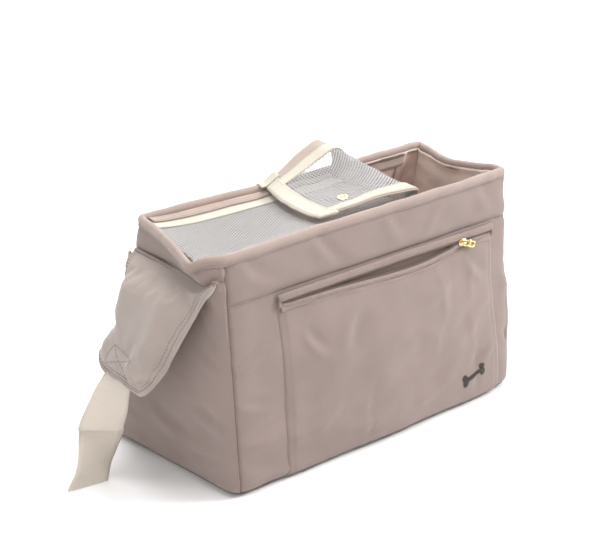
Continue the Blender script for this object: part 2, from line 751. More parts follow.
def make_foam_and_lining():
    """The foam sheets and the lining inside the walls."""
    walls = {
        "front": (FRONT_LEFT, RIGHT_FRONT),
        "right": (RIGHT_FRONT, REAR_RIGHT),
        "rear": (REAR_RIGHT, REAR_LEFT),
        "left": (REAR_LEFT, SIDES),
    }
    top = WALL_TOP - 2
    for side, (start, end) in walls.items():
        made = panel(
            "foam_sheet_" + side, start, end, 8, top, FOAM, near=-2.6, thick=2.4, seams=False, step=8
        )
        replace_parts(made, "foam_" + side)

        def slack(u, z):
            return -1.2 * np.abs(noise(SHELL.at(u, z), 34, 31)) * smooth(z, 10, 40)

        made = panel(
            "lining_cloth_" + side, start, end, 6, top, LINING_CLOTH,
            near=-5.6, thick=0.8, extra=slack,
        )
        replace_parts(made, "lining_" + side)


RIM_TURN = np.linspace(-0.2, 1.2, 15) * math.pi


def make_binding():
    """The rolled binding over the rim, with its topstitching."""
    u = np.linspace(0, SIDES, 620, endpoint=False)
    middle, half, rise = -WALL / 2, 4.3, 4.6
    puffed = noise(SHELL.at(u, WALL_TOP), 26, 41) * 0.5 + noise(SHELL.at(u, WALL_TOP), 7, 43) * 0.28
    rings = []
    for turn in RIM_TURN:
        swell = 1 + 0.12 * puffed
        out = middle + half * math.cos(turn) * swell
        lift = rise * math.sin(turn) * swell
        place = SHELL.at(u, WALL_TOP, out)
        place[:, 2] += lift + puffed * 0.6
        rings.append(place)
    for out in (middle - half * 0.95, middle + half * 0.95):
        place = SHELL.at(u, WALL_TOP, out)
        place[:, 2] -= 6.0
        rings.append(place)
    points = np.array(rings).transpose(1, 0, 2)
    made = add_piece(
        "rim_binding_cloth", points.reshape(-1, 3), ring_faces(len(u), len(rings), True),
        BINDING_CLOTH,
    )
    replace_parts(made, "rim_binding")
    u = np.linspace(0, SIDES, 900)
    outside = SHELL.at(u, WALL_TOP, middle + half * 0.98)
    outside[:, 2] -= 4.6
    stitches("rim_topstitching", [(outside, SHELL.normal(u, WALL_TOP))], THREAD_TAUPE)


def make_seam_tapes():
    """The tapes over the seams inside the corners."""
    half = 0.035
    for name, u in (("front_left", 0.0), ("front_right", 2.0), ("rear_right", 4.0), ("rear_left", 5.0)):
        reach = half if name.startswith("rear") or u == 0 else half * 4
        grid_u, grid_z = np.meshgrid(np.linspace(u - reach, u + reach, 7), np.linspace(8, WALL_TOP - 3, 80))
        out = -7.4 + 0.5 * noise(np.stack([grid_u * 40, grid_z, 0 * grid_z], -1), 14, 51)
        made = slab(
            "seam_tape_" + name, SHELL.at(grid_u, grid_z, out), SHELL.at(grid_u, grid_z, out + 0.7),
            LINING_CLOTH,
        )
        if name == "front_left":
            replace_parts(made, "corner_seam_tapes")


make_walls()
make_bottom()
make_foam_and_lining()
make_binding()
make_seam_tapes()


# ---------------------------------------------------------------- pocket, zipper and mark

POCKET_LEFT, POCKET_RIGHT = box_mm("pocket_panel")[0][0], box_mm("pocket_panel")[1][0]
POCKET_WIDTH = 312.0
COIL_START, COIL_END = box_mm("zipper_upper_coil")[0][0], box_mm("zipper_upper_coil")[1][0]
SLIDER_LOW, SLIDER_HIGH = box_mm("zipper_slider")
SLIDER_X = (SLIDER_LOW[0] + SLIDER_HIGH[0]) / 2
FRONT_LEAN = math.atan2(HALF_DEPTH - RIM_FRONT, WALL_TOP)
WELT = 6.0


def front_u(x, z):
    """The distance round the bag of a place on the front wall."""
    left = lerp(CORNERS[0][0][0], CORNERS[0][1][0], z / WALL_TOP)
    right = lerp(CORNERS[1][0][0], CORNERS[1][1][0], z / WALL_TOP)
    return (x - left) / (right - left)


def slot_open(x):
    """How far the zipper gapes, from 0 at its closed ends to 1."""
    share = np.clip((x - COIL_START) / (SLIDER_X - COIL_START), 0, 1)
    ends = smooth(share, 0, 0.05) * smooth(share, 1.0, 0.93)
    return 0.24 * ends + 0.76 * np.clip(np.sin(math.pi * share**1.9), 0, 1) ** 1.2


def upper_lip(x):
    return 192.6 + 1.3 * slot_open(x) + 0 * x


def lower_lip(x):
    """The pocket's top edge, which sags where the zipper is open."""
    return 190.6 - 8.2 * slot_open(x)


def pocket_side(x_top, x_foot, sway):
    """The line of one of the pocket's side seams, as u for each height."""

    def line(z):
        share = 1 - z / ZIP_HEIGHT
        x = lerp(x_top, x_foot, share) + sway * np.sin(share * TAU * 0.9)
        return front_u(x, z)

    return line


POCKET_SIDES = (
    pocket_side(POCKET_LEFT, POCKET_LEFT + 6, 1.2),
    pocket_side(POCKET_RIGHT, POCKET_RIGHT + 5, -3.0),
)


def pocket_out(across, z):
    """How far the pocket's cloth stands off the front wall."""
    share = np.clip(z / ZIP_HEIGHT, 0, 1)
    full = np.clip(np.sin(math.pi * across), 0, 1) ** 0.7
    belly = 5.0 * full * np.sin(math.pi * share**0.8) ** 0.8
    gape = 2.2 * full * smooth(share, 0.75, 1.0)
    return 1.5 + 0.7 * full + belly + gape


def pocket_grid(columns=110, rows=62):
    """The pocket cloth's grid: shares across, heights and places round the bag."""
    across = np.linspace(0, 1, columns)[None, :]
    up = np.linspace(0, 1, rows)[:, None]
    top = lower_lip(lerp(POCKET_LEFT, POCKET_RIGHT, across)) - WELT + 0.6
    z = 4.5 + (top - 4.5) * up
    u = lerp(POCKET_SIDES[0](z), POCKET_SIDES[1](z), across)
    return across + 0 * z, z, u


def pocket_surface(across, z):
    places = np.stack([across * 310, z, 0 * z], -1)
    folds = 1.5 * noise(places, 70, 61) + 0.9 * noise(places * (1, 0.6, 1), 26, 62)
    diagonal = places[..., 0] * 0.5 + places[..., 1]
    from_corner = np.hypot(places[..., 0] - 12, places[..., 1] - 168)
    corner_folds = 0.9 * np.sin(diagonal / 5.5) * np.exp(-from_corner / 22)
    edge = np.minimum(across, 1 - across) * POCKET_WIDTH
    rolled = -1.6 * np.exp(-((edge / 1.6) ** 2)) - 0.9 * np.exp(-(((edge - 5.2) / 1.7) ** 2))
    pucker = 0.4 * noise(places * (0.2, 1, 1), 3.4, 63) * np.exp(-edge / 9)
    away = pocket_out(across, z) + (folds + corner_folds) * smooth(edge, 0, 14) + rolled + pucker
    return np.maximum(away, 2.1 * smooth(edge, 5, 9))


def across_pocket(x):
    """The share of the pocket's width at an x."""
    return (x - POCKET_LEFT) / (POCKET_RIGHT - POCKET_LEFT)


def pocket_line(share, heights, rise=0.0):
    """The places on the pocket's cloth, or above it, at shares of its width and heights, with the normals."""
    u = lerp(POCKET_SIDES[0](heights), POCKET_SIDES[1](heights), share)
    return SHELL.at(u, heights, pocket_surface(share, heights) + rise), SHELL.normal(u, heights)


def make_pocket():
    """The pocket's outer cloth, its lining and its stitching."""
    across, z, u = pocket_grid()
    out = pocket_surface(across, z)
    inner = SHELL.at(u, z, out - SHELL_THICK)
    made = slab("pocket_cloth", SHELL.at(u, z, out), inner, SHELL_CLOTH)
    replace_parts(made, "pocket_panel")
    grid_x, grid_z = np.meshgrid(np.linspace(POCKET_LEFT + 9, POCKET_RIGHT - 9, 60), np.linspace(9, 196, 40))
    place = front_u(grid_x, grid_z)
    back = 0.2 + 0.15 * noise(np.stack([grid_x, grid_z, 0 * grid_x], -1), 20, 64)
    made = slab(
        "pocket_back_lining", SHELL.at(place, grid_z, back + 0.4), SHELL.at(place, grid_z, back - 0.1),
        POCKET_CLOTH,
    )
    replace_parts(made, "pocket_lining")
    lines = []
    heights = np.linspace(8, 184, 100)
    inset = 5.2 / POCKET_WIDTH
    for share in (inset, 1 - inset):
        lines.append(pocket_line(np.full_like(heights, share), heights))
    x = np.linspace(POCKET_LEFT + 4, POCKET_RIGHT - 4, 200)
    lines.append(pocket_line(across_pocket(x), lower_lip(x) - WELT - 2.2))
    stitches("pocket_topstitching", lines, THREAD_TAUPE)


def welt(name, node, lip, side):
    """A folded welt beside the zipper: rolled along its lip, sunk along its seam."""
    x = np.linspace(POCKET_LEFT + 1.2, POCKET_RIGHT - 1.2, 260)
    section = ((0.0, 0.4), (0.25, 1.5), (1.0, 2.2), (2.2, 2.3), (4.0, 1.5), (5.2, 1.0), (WELT + 0.8, 0.1))
    rings = []
    base = pocket_out(across_pocket(x), lip(x)) - 0.6 if side < 0 else 2.6 + 0 * x
    crimp = 0.22 * noise(np.stack([x, 0 * x, 0 * x], -1), 6, 71)
    for back in (False, True):
        for offset, proud in section if not back else section[::-1]:
            z = lip(x) + side * offset
            out = base + (proud + crimp if not back else proud * 0.25 - 0.9)
            rings.append(SHELL.at(front_u(x, z), z, out))
    points = np.array(rings).transpose(1, 0, 2)
    made = add_piece(name, points.reshape(-1, 3), ring_faces(len(x), len(rings)), SHELL_CLOTH)
    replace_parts(made, node)
    z = lip(x) + side * 3.4
    return SHELL.at(front_u(x, z), z, base + 1.85), SHELL.normal(front_u(x, z), z)


def coil(name, node, height, out):
    """One side of the zipper: a wound coil along its tape's edge."""
    turns = int((COIL_END - COIL_START) / 1.4)
    steps = turns * 8
    t = np.linspace(0, 1, steps + 1)
    x = lerp(COIL_START, COIL_END, t)
    angle = t * turns * TAU
    z = height(x)
    path = SHELL.at(front_u(x, z), z, out(x))
    along = unit(np.gradient(path, axis=0))
    normal = SHELL.normal(front_u(x, z), z)
    up = np.cross(normal, along)
    path = path + up * (0.95 * np.cos(angle))[:, None] + normal * (0.75 * np.sin(angle))[:, None]
    made = tube(name, path, 0.33, normal[0], ZIP_COIL, sides=5)
    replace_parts(made, node)


def zip_tape(name, node, height, side, out):
    """A zipper tape behind its welt."""
    x = np.linspace(COIL_START, COIL_END, 150)
    rows = np.linspace(0.5, 8.0, 5)[:, None]
    z = height(x)[None, :] + side * rows
    u = front_u(x[None, :] + 0 * z, z)
    away = out(x)[None, :] + 0 * z
    made = slab(name, SHELL.at(u, z, away + 0.35), SHELL.at(u, z, away - 0.35), ZIP_TAPE)
    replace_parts(made, node)


def make_zipper():
    """The welts, tapes and coils. The coils part to the left of the slider."""
    lines = [
        welt("upper_welt_fold", "upper_welt", upper_lip, 1),
        welt("lower_welt_fold", "lower_welt", lower_lip, -1),
    ]
    stitches("welt_stitching", lines, THREAD_TAUPE)
    middle = ZIP_HEIGHT

    def upper(x):
        return middle + 1.0 + 0.9 * slot_open(x)

    def lower(x):
        return np.minimum(middle - 1.0, lower_lip(x) + 0.9)

    def near(x):
        return 3.0 + 0 * x

    def far(x):
        return lerp(3.0, pocket_out(across_pocket(x), lower_lip(x)) - 0.9, slot_open(x) ** 0.5)

    coil("zipper_coil_upper", "zipper_upper_coil", upper, near)
    coil("zipper_coil_lower", "zipper_lower_coil", lower, far)
    zip_tape("zipper_tape_upper", "zipper_upper_tape", upper, 1, near)
    zip_tape("zipper_tape_lower", "zipper_lower_tape", lower, -1, far)
    paint_node("zipper_stops", ZIP_COIL)


def paint_node(node, material):
    """Gives a kept CAD node a detailed material."""
    for slot in frame["nodes"][node].material_slots:
        slot.material = material


def soften(node, width_mm):
    """Rounds a kept CAD node's sharp edges."""
    kept = frame["nodes"][node]
    eased = kept.modifiers.new("eased", "BEVEL")
    eased.width = width_mm * MM
    eased.segments = 3
    eased.limit_method = "ANGLE"
    eased.angle_limit = math.radians(35)


def prism(name, outline, low, high, place, material, slot, body, bevel=0.3, hole=None):
    """A plate cut to an outline, with eased edges. place turns its own frame into the row frame."""
    made = bmesh.new()

    def ring(points, height):
        return [made.verts.new((x, y, height)) for x, y in points]

    count = len(outline)
    bottom, top = ring(outline, low), ring(outline, high)
    for j in range(count):
        made.faces.new((bottom[j], bottom[(j + 1) % count], top[(j + 1) % count], top[j]))
    if hole is None:
        made.faces.new(bottom[::-1])
        made.faces.new(top)
    else:
        inner_bottom, inner_top = ring(hole, low), ring(hole, high)
        for j in range(count):
            k = (j + 1) % count
            made.faces.new((inner_bottom[k], inner_bottom[j], inner_top[j], inner_top[k]))
            made.faces.new((bottom[k], bottom[j], inner_bottom[j], inner_bottom[k]))
            made.faces.new((top[j], top[k], inner_top[k], inner_top[j]))
    sharp = [e for e in made.edges if len(e.link_faces) == 2 and e.calc_face_angle() > 0.6]
    bmesh.ops.bevel(made, geom=sharp, offset=bevel, segments=3, affect="EDGES", clamp_overlap=True)
    bmesh.ops.recalc_face_normals(made, faces=made.faces)
    mesh = bpy.data.meshes.new(name)
    made.transform(place)
    made.transform(Matrix.Scale(MM, 4))
    made.to_mesh(mesh)
    made.free()
    mesh.polygons.foreach_set("use_smooth", [True] * len(mesh.polygons))
    mesh.materials.append(material)
    piece = bpy.data.objects.new(name, mesh)
    bpy.context.collection.objects.link(piece)
    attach(piece, body)
    return piece


def rounded_box(width, height, radius, centre=(0.0, 0.0), per_corner=6):
    """An outline with round corners, the same number of points whatever its size."""
    points = []
    for k, (sx, sy) in enumerate(((1, 1), (-1, 1), (-1, -1), (1, -1))):
        for a in np.linspace(k * TAU / 4, (k + 1) * TAU / 4, per_corner):
            x = centre[0] + sx * (width / 2 - radius) + radius * math.cos(a)
            y = centre[1] + sy * (height / 2 - radius) + radius * math.sin(a)
            points.append((x, y))
    return points


def joint(name):
    return [j for j in frame["joints"] if j["name"] == name][0]


def make_slider():
    """The slider's shaped plates and bridge, and the puller's link and tab."""
    foot = Vector((SLIDER_X, -HALF_DEPTH, 0))
    turn = Matrix.Rotation(-FRONT_LEAN, 4, "X")
    up = ZIP_HEIGHT / math.cos(FRONT_LEAN)
    # In the slider's frame X runs along the zipper, Y up the wall, and Z away from it.
    lying = Matrix.Rotation(math.pi / 2, 4, "X")
    local = Matrix.Translation(foot) @ turn @ Matrix.Translation((0, 0, up)) @ lying
    half = (SLIDER_HIGH[0] - SLIDER_LOW[0]) / 2
    shield = []
    for a in np.linspace(0, TAU, 32, endpoint=False):
        x = half * math.copysign(abs(math.cos(a)) ** 0.6, math.cos(a))
        y = 4.7 * math.copysign(abs(math.sin(a)) ** 0.7, math.sin(a))
        shield.append((x, y * (0.80 + 0.2 * x / half)))
    front = prism("slider_front_plate", shield, 4.8, 6.1, local, BRASS, "brass", "zipper_slider", 0.45)
    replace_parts(front, "zipper_slider")
    prism("slider_back_plate", shield, 0.8, 1.6, local, BRASS, "brass", "zipper_slider", 0.25)
    divider = rounded_box(3.0, 1.6, 0.7, (-3.6, 0))
    prism("slider_divider", divider, 1.6, 4.8, local, BRASS, "brass", "zipper_slider", 0.1)
    half_arch = [(-3.9, 0, 6.0), (-3.6, 0, 7.6), (-2.0, 0, 8.9)]
    arch = half_arch + [(0, 0, 9.2)] + [(-x, y, z) for x, y, z in reversed(half_arch)]
    path = np.array([local @ Vector(p) for p in curve_through(arch, 5)])
    tube("slider_bridge", path, 0.75, (0, 0, 1), BRASS, "zipper_slider", sides=10)
    swing = joint("puller_swing")
    droop = Matrix.Rotation(math.radians(-18), 4, "Z")
    pivot = Matrix.Translation(Vector(swing["pos_m"]) / MM) @ turn @ lying @ droop
    ring = prism(
        "puller_link", rounded_box(9.2, 7.0, 2.4, (4.0, 0)), -0.55, 0.55, pivot,
        BRASS, "brass", "zipper_puller", 0.3,
        hole=rounded_box(6.4, 4.2, 1.6, (4.0, 0)),
    )
    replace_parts(ring, "zipper_puller")
    prism(
        "puller_tab", rounded_box(10.4, 8.0, 2.2, (12.6, 0)), -0.5, 0.6, pivot,
        BRASS, "brass", "zipper_puller", 0.35,
        hole=rounded_box(5.2, 3.4, 1.2, (13.8, 0)),
    )


def make_mark():
    """A small embroidered bone in satin stitch, low on the pocket at its right."""
    low, high = box_mm("embroidered_bone")
    centre_x, centre_z = (low[0] + high[0]) / 2, (low[2] + high[2]) / 2
    half, shaft, lobe, slope = 14.5, 2.5, 4.1, math.radians(12)
    verts, faces = [], []
    for x in np.arange(-half - lobe + 0.3, half + lobe, 0.46):
        reach = shaft if abs(x) < half else 0.0
        for end in (-half, half):
            if abs(x - end) < lobe:
                reach = max(reach, lobe * 0.8 + math.sqrt(lobe**2 - (x - end) ** 2))
        notch = 0.0
        if abs(x) > half + lobe * 0.3:
            notch = max(0.0, lobe * 0.8 - math.sqrt(max(0.0, lobe**2 - (abs(x) - half) ** 2)))
        spans = [(-reach, reach)] if notch <= 0 else [(-reach, -notch), (notch, reach)]
        for start, end in spans:
            if end - start < 0.8:
                continue
            y = np.linspace(start, end, 7)
            px = centre_x + x * math.cos(slope) - y * math.sin(slope)
            pz = centre_z + x * math.sin(slope) + y * math.cos(slope)
            rise = 0.25 + 0.45 * np.sin(math.pi * (y - start) / (end - start))
            path, _ = pocket_line(across_pocket(px), pz, rise)
            first = len(verts)
            verts += tube_points(path, 0.25, (0, -1, 0), 5).reshape(-1, 3).tolist()
            faces += [tuple(first + k for k in face) for face in ring_faces(len(y), 5)]
    made = add_piece("embroidered_bone_threads", verts, faces, THREAD_DARK)
    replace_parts(made, "embroidered_bone")


make_pocket()
make_zipper()
make_slider()
make_mark()


# ---------------------------------------------------------------- net cover

NET_PITCH, NET_HOLE = 3.3, 0.70
FOLD_X = joint("riser_fold")["pos_m"][0] / MM
FOLD_Z = joint("riser_fold")["pos_m"][2] / MM
CREST_X = joint("flap_fold")["pos_m"][0] / MM
CREST_Z = joint("flap_fold")["pos_m"][2] / MM


def net(name, surface, low, high, inside, slot_body="shell", thick=0.34):
    """Knitted net: hexagonal holes in a thin sheet. surface turns flat (a, b) into places and normals."""
    step_a, step_b = NET_PITCH, NET_PITCH * math.sqrt(3) / 2
    turns = np.radians(np.arange(6) * 60)
    rim = np.stack([np.cos(turns), np.sin(turns)], 1) * NET_PITCH / math.sqrt(3)
    rows = np.arange(int((high[0] - low[0]) / step_b) + 1)
    columns = np.arange(int((high[1] - low[1]) / step_a) + 1)
    centres = np.array(
        [(low[0] + r * step_b, low[1] + (c + 0.5 * (r % 2)) * step_a) for r in rows for c in columns]
    )
    centres = centres[inside(centres[:, 0], centres[:, 1])]
    outer_keys, flat, faces = {}, [], []
    for centre in centres:
        ring = []
        for corner in centre + rim:
            key = (round(corner[0], 2), round(corner[1], 2))
            if key not in outer_keys:
                outer_keys[key] = len(flat)
                flat.append(corner)
            ring.append(outer_keys[key])
        first = len(flat)
        flat.extend(centre + rim * NET_HOLE)
        for k in range(6):
            m = (k + 1) % 6
            faces.append((ring[k], ring[m], first + m, first + k))
    flat = np.array(flat)
    places, normals = surface(flat[:, 0], flat[:, 1])
    count = len(flat)
    verts = np.vstack([places + normals * thick / 2, places - normals * thick / 2])
    both = [tuple(f) for f in faces] + [tuple(count + k for k in f[::-1]) for f in faces]
    edges = {}
    for face in faces:
        for k in range(4):
            pair = (face[k], face[(k + 1) % 4])
            edges[tuple(sorted(pair))] = None if tuple(sorted(pair)) in edges else pair
    both += [(b, a, count + a, count + b) for pair in edges.values() if pair for a, b in (pair,)]
    return add_piece(name, verts, both, NET, slot_body)


COVER_CORNERS = corners_at(FOLD_Z)


def wall_gap(x, y):
    """The distance in from the nearest wall's inner face at the cover's height."""
    gaps = []
    walls = (
        (LEFT_REAR, LEFT_FRONT),
        (LEFT_FRONT, FRONT_LEFT),
        (FRONT_LEFT, FRONT_RIGHT),
        (REAR_RIGHT, REAR_LEFT),
    )
    for start, end in walls:
        from_x, from_y = COVER_CORNERS[start]
        line = unit(COVER_CORNERS[end] - COVER_CORNERS[start])
        gaps.append((y - from_y) * line[0] - (x - from_x) * line[1] - WALL)
    return np.minimum.reduce(gaps)


def rear_inside(x, gap=0.0):
    """The y of the rear wall's inner face near the cover, in by a gap."""
    start, end = COVER_CORNERS[LEFT_REAR], COVER_CORNERS[REAR_RIGHT]
    return lerp(start[1], end[1], (x - start[0]) / (end[0] - start[0])) - WALL - 0.6 - gap


def front_inside(gap=0.0):
    """The y of the front wall's inner face near the cover, in by a gap."""
    return COVER_CORNERS[FRONT_LEFT][1] + WALL + gap


def left_inside(y):
    """The x of the left end's inner face near the cover."""
    rear, front = COVER_CORNERS[LEFT_REAR], COVER_CORNERS[LEFT_FRONT]
    return lerp(front[0], rear[0], (y - front[1]) / (rear[1] - front[1])) + WALL


def cover_height(x, y):
    """The sewn-in net's height: up to the rim at the left and front, slack in the middle."""
    x, y = np.broadcast_arrays(np.asarray(x, float), np.asarray(y, float))
    from_left = x - left_inside(y)
    from_front = y - front_inside()
    lift = 6.0 * np.exp(-np.clip(from_left, 0, None) / 26)
    lift = lift + 3.0 * np.exp(-np.clip(from_front, 0, None) / 22)
    slack = -3.2 * smooth(from_left, 0, 60) * smooth(FOLD_X - x, 0, 40) * np.cos((y + 15) / 75 * math.pi / 2)
    places = np.stack([x, y, 0 * x], -1)
    waves = 1.1 * noise(places, 42, 81) + 0.5 * noise(places, 17, 82)
    corner = 7.0 * np.exp(-np.hypot(x - COVER_CORNERS[LEFT_FRONT][0], y - COVER_CORNERS[LEFT_FRONT][1]) / 24)
    return FOLD_Z + 1.0 + lift + slack - corner + waves * smooth(FOLD_X - x, 0, 24)


def cover_surface(x, y):
    x, y = np.broadcast_arrays(np.asarray(x, float), np.asarray(y, float))
    z = cover_height(x, y)
    slope_x = (cover_height(x + 1, y) - cover_height(x - 1, y)) / 2
    slope_y = (cover_height(x, y + 1) - cover_height(x, y - 1)) / 2
    return np.stack([x, y, z], -1), unit(np.stack([-slope_x, -slope_y, 1 + 0 * z], -1))


def strip_on(surface, name, along, across, material, lift, thick, body="shell"):
    """A tape on a surface: along and across are grids of its flat places."""
    places, normals = surface(along, across)
    return slab(name, places + normals * (lift + thick), places + normals * lift, material, body)


def make_fixed_cover():
    """The sewn-in net, its tapes and the loop strips along the long walls."""
    low_x, high_x = -224.0, FOLD_X - 0.5

    def inside(x, y):
        return (wall_gap(x, y) > -0.8) & (x < high_x - 1) & (y < rear_inside(x, 4))

    made = net("cover_net_mesh", cover_surface, (low_x, -90.0), (high_x, 60.0), inside)
    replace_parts(made, "cover_net")
    length, width = (high_x + 210) * MM, 0.136

    share = np.linspace(0, 1, 110)[None, :]
    rows = np.linspace(0, 1, 7)[:, None]
    x = lerp(-186.0, high_x, share) + 0 * rows
    wave = 1.0 * noise(np.stack([x, 0 * x, 0 * x], -1), 40, 91)
    y = rear_inside(x, 8.0 + wave) - 19.0 * (1 - rows) * (1 + 0.03 * wave)
    rear = strip_on(cover_surface, "cover_rear_tape", x, y, CREAM_TAPE, 0.4, 0.9)
    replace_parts(rear, "cover_rear_edging")
    x = lerp(-206.0, high_x, share) + 0 * rows
    y = front_inside(1.0) + 19.0 * rows
    front = strip_on(cover_surface, "cover_front_tape", x, y, CREAM_TAPE, 0.4, 0.9)
    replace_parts(front, "cover_front_edging")
    lines = []
    for inset in (1.6, 17.4):
        x = np.linspace(-184.0, high_x - 1, 160)
        wave = 1.0 * noise(np.stack([x, 0 * x, 0 * x], -1), 40, 91)
        lines.append(cover_surface(x, rear_inside(x, 8.0 + wave) - inset))
        lines.append(cover_surface(x, front_inside(1.0) + inset + 0 * x))
    stitches("cover_tape_stitching", lines, THREAD_CREAM, lift=1.35)

    x = np.linspace(-180.0, 176.0, 150)[None, :] + 0 * rows
    flat = smooth(x, FOLD_X + 18, FOLD_X - 4)
    width = 11.0 * (1 - rows)
    y = rear_inside(x, 0.4) - width * flat
    z = lerp(WALL_TOP - 5 - width * 1.15, cover_height(x, y) + 2.0 + 1.6 * rows, flat)
    places = np.stack([x, y, z], -1)
    away = unit(np.stack([0 * x, -1 + flat, flat + 0.02], -1))
    made = slab("rear_loop_tape", places + away * 1.3, places, LOOP_TAPE)
    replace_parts(made, "rear_loop_strip")
    seams = []
    for row in (1, 5):
        seams.append((places[row], away[row]))
    stitches("loop_tape_stitching", seams, THREAD_TAUPE, lift=1.4)
    x = np.linspace(FOLD_X + 8, 180.0, 60)[None, :] + 0 * rows
    z = WALL_TOP - 18 + 12 * rows
    u = front_u(x, z)
    made = slab("front_loop_tape", SHELL.at(u, z, -8.4), SHELL.at(u, z, -7.1), LOOP_TAPE)
    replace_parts(made, "front_loop_strip")


# The loose third at rest: where its profile runs at its front edge and at its rear edge.
# Each profile goes from the fold line up the riser, over the crest and down the flap, as (x, y, z).
FRONT_PROFILE = (
    (FOLD_X, -81, FOLD_Z + 0.2), (70.5, -82, 250), (66, -83, 258.0),
    (38, -77, 258.5), (0, -70, 253.0), (-52, -62, 249.0),
)
REAR_PROFILE = (
    (FOLD_X, 44, FOLD_Z + 0.2), (70.0, 48, 264), (52, 51, 285.5),
    (33, 52, 281), (8, 52, 268), (-25, 51, 250.5),
)
CREST_SHARE = 2 / 5


class Cover:
    """The loose third: a is 0 at the fold line and 1 at the free end, b is 0 in front and 1 behind."""

    def __init__(self):
        front, rear = curve_through(FRONT_PROFILE, 30), curve_through(REAR_PROFILE, 30)
        self.front, self.rear = front, rear
        self.width = 130.0

    def at(self, a, b):
        a, b = np.broadcast_arrays(np.asarray(a, float), np.asarray(b, float))
        place = np.clip(a, 0, 1) * (len(self.front) - 1)
        low = np.minimum(place.astype(int), len(self.front) - 2)
        part = (place - low)[..., None]
        front = lerp(self.front[low], self.front[low + 1], part)
        rear = lerp(self.rear[low], self.rear[low + 1], part)
        place = lerp(front, rear, b[..., None])
        arch = np.sin(math.pi * b)
        place[..., 0] -= 7.0 * arch * smooth(a, 0.6, 1.0)
        flat = np.stack([a * 120, b * self.width, 0 * a], -1)
        slack = 1.3 * noise(flat, 30, 101) + 0.7 * noise(flat, 13, 102)
        hollow = 2.4 * arch * smooth(a, 0.45, 0.8) * smooth(a, 1.0, 0.85)
        place[..., 2] += (slack - hollow) * smooth(a, 0.05, 0.3)
        distance = np.hypot((a - SNAP_A) * 110, (b - SNAP_B) * self.width)
        angle = np.arctan2((b - SNAP_B) * self.width, (a - SNAP_A) * 110)
        place[..., 2] += 0.9 * np.cos(6 * angle + 0.7) * np.exp(-distance / 12) * smooth(distance, 2, 8)
        return place

    def surface(self, a, b):
        d = 0.004
        place = self.at(a, b)
        down = self.at(a + d, b) - self.at(np.asarray(a) - d, b)
        over = self.at(a, b + d) - self.at(a, np.asarray(b) - d)
        return place, unit(np.cross(over, down))


SNAP_A, SNAP_B = 0.80, 0.22
COVER = Cover()


AT_FOLD = ("shell", "cover_riser", (FOLD_X, 0, FOLD_Z - 0.5), (FOLD_X, 0, FOLD_Z + 7))
AT_CREST = ("cover_riser", "cover_flap", (CREST_X + 4, 0, CREST_Z + 2), (CREST_X - 22, 0, CREST_Z - 8))


def make_loose_cover():
    """The riser and flap of the net, with their tapes, each bent across its joint."""
    spans = {
        "riser": (0.0, CREST_SHARE, 46.0, AT_FOLD),
        "flap": (CREST_SHARE, 1.0, 96.0, AT_CREST),
    }
    width = COVER.width
    for name, (low, high, length, crossing) in spans.items():

        def on_cover(along, across):
            return COVER.surface(lerp(low, high, along / length), across / width)

        def inside(along, across):
            end = length - (2 if name == "riser" else 10)
            return (along > 0.5) & (along < end) & (across > 0.07 * width) & (across < 0.86 * width)

        made = net(name + "_net_mesh", on_cover, (0.0, 0.0), (length, width), inside, None)
        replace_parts(made, name + "_net")
        loose = [made]
        end = high if name == "riser" else high - 0.02
        columns, rows = np.linspace(low, end, 40)[None, :], np.linspace(0, 1, 6)[:, None]
        for tape, start, stop, material, slot, lift, node in (
            ("rear_tape", 0.79, 0.90, CREAM_TAPE, "cream_tape", 0.3, "rear_edging"),
            ("front_tape", 0.015, 0.125, CREAM_TAPE, "cream_tape", 0.3, "front_edging"),
            ("rear_band", 0.885, 1.0, LOOP_TAPE, "hook_and_loop", -0.9, "rear_hook_strip"),
            ("front_band", 0.0, 0.055, LOOP_TAPE, "hook_and_loop", -0.9, "front_hook_strip"),
        ):
            a = columns + 0 * rows
            edge = 0.004 * noise(np.stack([a * 120, 0 * a, 0 * a], -1), 14, 111)
            b = lerp(start, stop, rows) + edge
            made = strip_on(COVER.surface, name + "_" + tape, a, b, material, lift, 1.1, None)
            if frame["nodes"].get(name + "_" + node):
                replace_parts(made, name + "_" + node)
            loose.append(made)
        a = np.linspace(low + 0.01, end - 0.01, 90)
        lines = [COVER.surface(a, b + 0 * a) for b in (0.032, 0.115, 0.80, 0.892)]
        loose.append(stitches(name + "_tape_stitching", lines, THREAD_CREAM, None, lift=1.6))
        if name == "flap":
            loose += make_flap_end()
        first, second, start, stop = crossing
        for made in loose:
            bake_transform(made)


